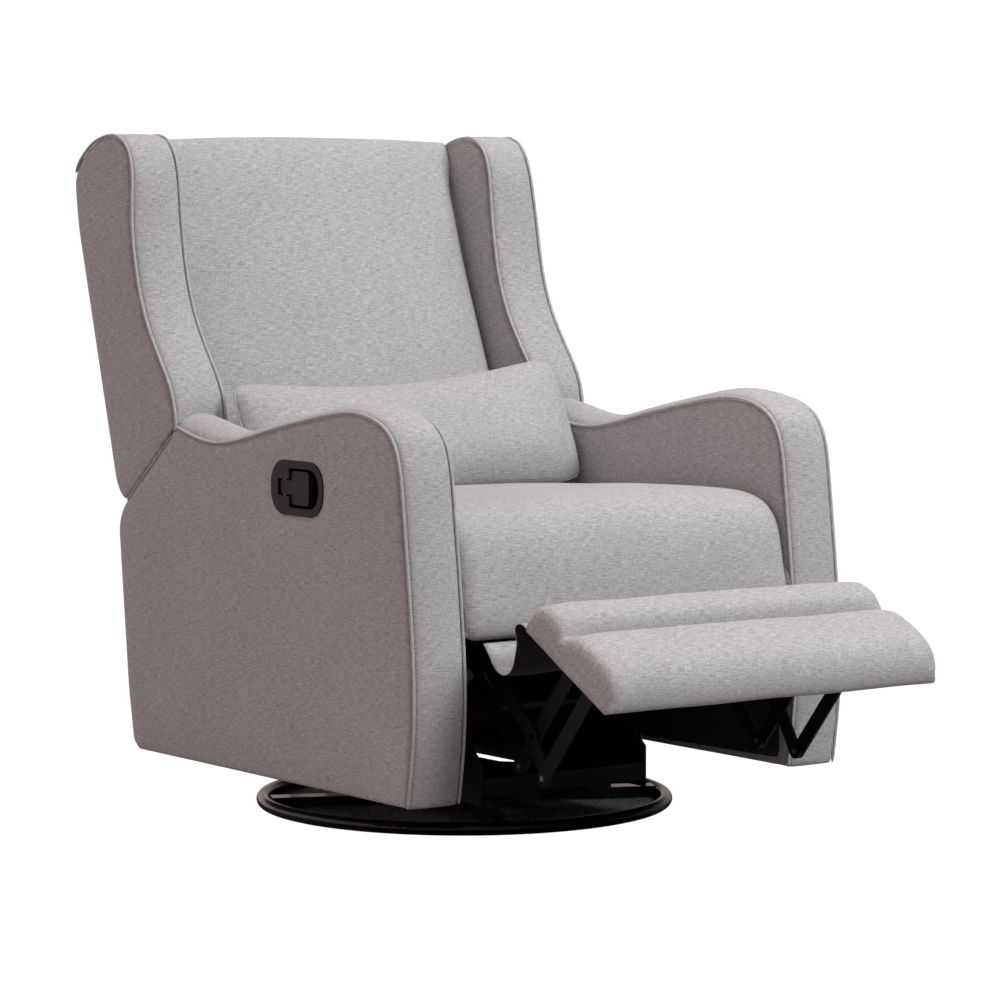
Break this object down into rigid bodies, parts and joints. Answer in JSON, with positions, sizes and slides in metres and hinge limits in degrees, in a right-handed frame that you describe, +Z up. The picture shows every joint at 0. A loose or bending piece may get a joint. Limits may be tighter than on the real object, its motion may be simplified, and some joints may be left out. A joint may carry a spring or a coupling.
{
  "type": "glider nursery chair",
  "caption": "Upholstered wingback swivel glider chair with reclining back, folding footrest, recessed release lever and round tube base.",
  "frame": {"origin": "on the floor, on the swivel axis at the centre of the base ring", "axes": "+Z up; -Y is where the sitter faces; -X is the sitter's right, the side with the release lever"},
  "size_m": [0.763, 1.2559, 0.998],
  "materials": {
    "ring_paint": "gloss black paint on bent steel tube",
    "mechanism_paint": "satin black paint on pressed steel",
    "bearing_steel": "zinc plated steel",
    "frame_wood": "raw plywood and softwood",
    "spring_steel": "oiled spring wire",
    "webbing": "black elastic webbing",
    "linen": "warm grey linen-look weave",
    "lever_plastic": "moulded matte black plastic",
    "panel_cloth": "warm grey linen-look weave over board"
  },
  "bodies": {
    "base": {"base_ring": "ring_paint", "base_cross_bars": "ring_paint", "swivel_lower_plate": "mechanism_paint", "swivel_lower_race": "bearing_steel", "swivel_balls": "bearing_steel", "swivel_stud": "bearing_steel", "swivel_nut": "bearing_steel"},
    "glider_frame": {"swivel_upper_plate": "mechanism_paint", "swivel_upper_race": "bearing_steel", "glider_rails": "mechanism_paint", "glider_cross_tube_front": "mechanism_paint", "glider_cross_tube_rear": "mechanism_paint", "hanger_brackets_left": "mechanism_paint", "hanger_brackets_right": "mechanism_paint"},
    "front_glider_links": {"glider_links_front": "mechanism_paint", "glider_pins_front": "bearing_steel"},
    "rear_glider_links": {"glider_links_rear": "mechanism_paint", "glider_pins_rear": "bearing_steel"},
    "carriage": {"carriage_hanger_plates": "mechanism_paint", "carriage_cross_tubes": "mechanism_paint", "side_plate_left": "mechanism_paint", "side_plate_right": "mechanism_paint", "seat_front_rail": "frame_wood", "seat_rear_rail": "frame_wood", "seat_side_rails": "frame_wood", "seat_springs": "spring_steel", "seat_cushion": "linen", "arm_panels": "frame_wood", "arm_left": "linen", "arm_right": "linen", "arm_bolts": "bearing_steel", "rear_panel": "panel_cloth", "lever_bezel": "lever_plastic", "footrest_flap": "linen"},
    "backrest": {"back_hinge_plates": "mechanism_paint", "back_hinge_pins": "bearing_steel", "back_side_rails": "frame_wood", "back_bottom_rail": "frame_wood", "back_top_rail": "frame_wood", "back_webbing": "webbing", "back_cushion": "linen", "back_panel": "panel_cloth", "wing_panels": "frame_wood", "wing_left": "linen", "wing_right": "linen"},
    "footrest_lower": {"footrest_lower_links": "mechanism_paint", "footrest_drive_shaft": "mechanism_paint", "footrest_cross_tube": "mechanism_paint"},
    "footrest_upper": {"footrest_upper_links": "mechanism_paint", "footrest_elbow_pins": "bearing_steel"},
    "footrest_guide": {"footrest_guide_links": "mechanism_paint", "footrest_guide_pins": "bearing_steel"},
    "footrest_front": {"footrest_front_links": "mechanism_paint"},
    "footrest_pad": {"footrest_brackets": "mechanism_paint", "footrest_board": "frame_wood", "footrest_roll": "linen", "footrest_cushion": "linen"},
    "lever": {"lever_paddle": "lever_plastic", "lever_pin": "bearing_steel"},
    "pillow": {"lumbar_pillow": "linen"}
  },
  "joints": [
    {"name": "swivel", "type": "hinge", "parent": "base", "child": "glider_frame", "pos_m": [0, 0, 0.0305], "axis": [0, 0, 1], "continuous": true},
    {"name": "glide", "type": "hinge", "parent": "glider_frame", "child": "front_glider_links", "pos_m": [0, -0.13, 0.19], "axis": [1, 0, 0], "range_deg": [-24, 24]},
    {"name": "glide_rear", "type": "hinge", "parent": "glider_frame", "child": "rear_glider_links", "pos_m": [0, 0.13, 0.19], "axis": [1, 0, 0], "range_deg": [-24, 24]},
    {"name": "glide_carriage", "type": "hinge", "parent": "front_glider_links", "child": "carriage", "pos_m": [0, -0.13, 0.09], "axis": [1, 0, 0], "range_deg": [-24, 24]},
    {"name": "recline", "type": "hinge", "parent": "carriage", "child": "backrest", "pos_m": [0, 0.262, 0.32], "axis": [-1, 0, 0], "range_deg": [0, 22]},
    {"name": "footrest", "type": "hinge", "parent": "carriage", "child": "footrest_lower", "pos_m": [0, -0.3015, 0.275], "axis": [1, 0, 0], "range_deg": [0, 78.74], "deforming": ["footrest_flap"]},
    {"name": "footrest_elbow", "type": "hinge", "parent": "footrest_lower", "child": "footrest_upper", "pos_m": [0, -0.434, 0.126], "axis": [1, 0, 0], "range_deg": [-69.45, 1]},
    {"name": "footrest_guide_pivot", "type": "hinge", "parent": "carriage", "child": "footrest_guide", "pos_m": [0, -0.3409, 0.287], "axis": [1, 0, 0], "range_deg": [-1, 90.51]},
    {"name": "footrest_guide_elbow", "type": "hinge", "parent": "footrest_guide", "child": "footrest_front", "pos_m": [0, -0.5042, 0.1182], "axis": [1, 0, 0], "range_deg": [-62.5, 1]},
    {"name": "footrest_tilt", "type": "hinge", "parent": "footrest_upper", "child": "footrest_pad", "pos_m": [0, -0.56886, 0.28874], "axis": [1, 0, 0], "range_deg": [-1, 51.72]},
    {"name": "lever_pull", "type": "hinge", "parent": "carriage", "child": "lever", "pos_m": [-0.375, -0.091, 0.498], "axis": [0, 0, -1], "range_deg": [0, 25], "stiffness_Nm_per_rad": 0.4},
    {"name": "pillow_lift", "type": "slide", "parent": "backrest", "child": "pillow", "axis": [0, 0.3584, 0.9336], "range_m": [0, 0.25]}
  ],
  "couplings": [
    {"joint": "glide_rear", "follows": "glide", "ratio": 1},
    {"joint": "glide_carriage", "follows": "glide", "ratio": -1},
    {"joint": "footrest_elbow", "follows": "footrest", "ratio": -0.86938},
    {"joint": "footrest_guide_pivot", "follows": "footrest", "ratio": 1.1368},
    {"joint": "footrest_guide_elbow", "follows": "footrest", "ratio": -0.78111},
    {"joint": "footrest_tilt", "follows": "footrest", "ratio": 0.6441}
  ]
}
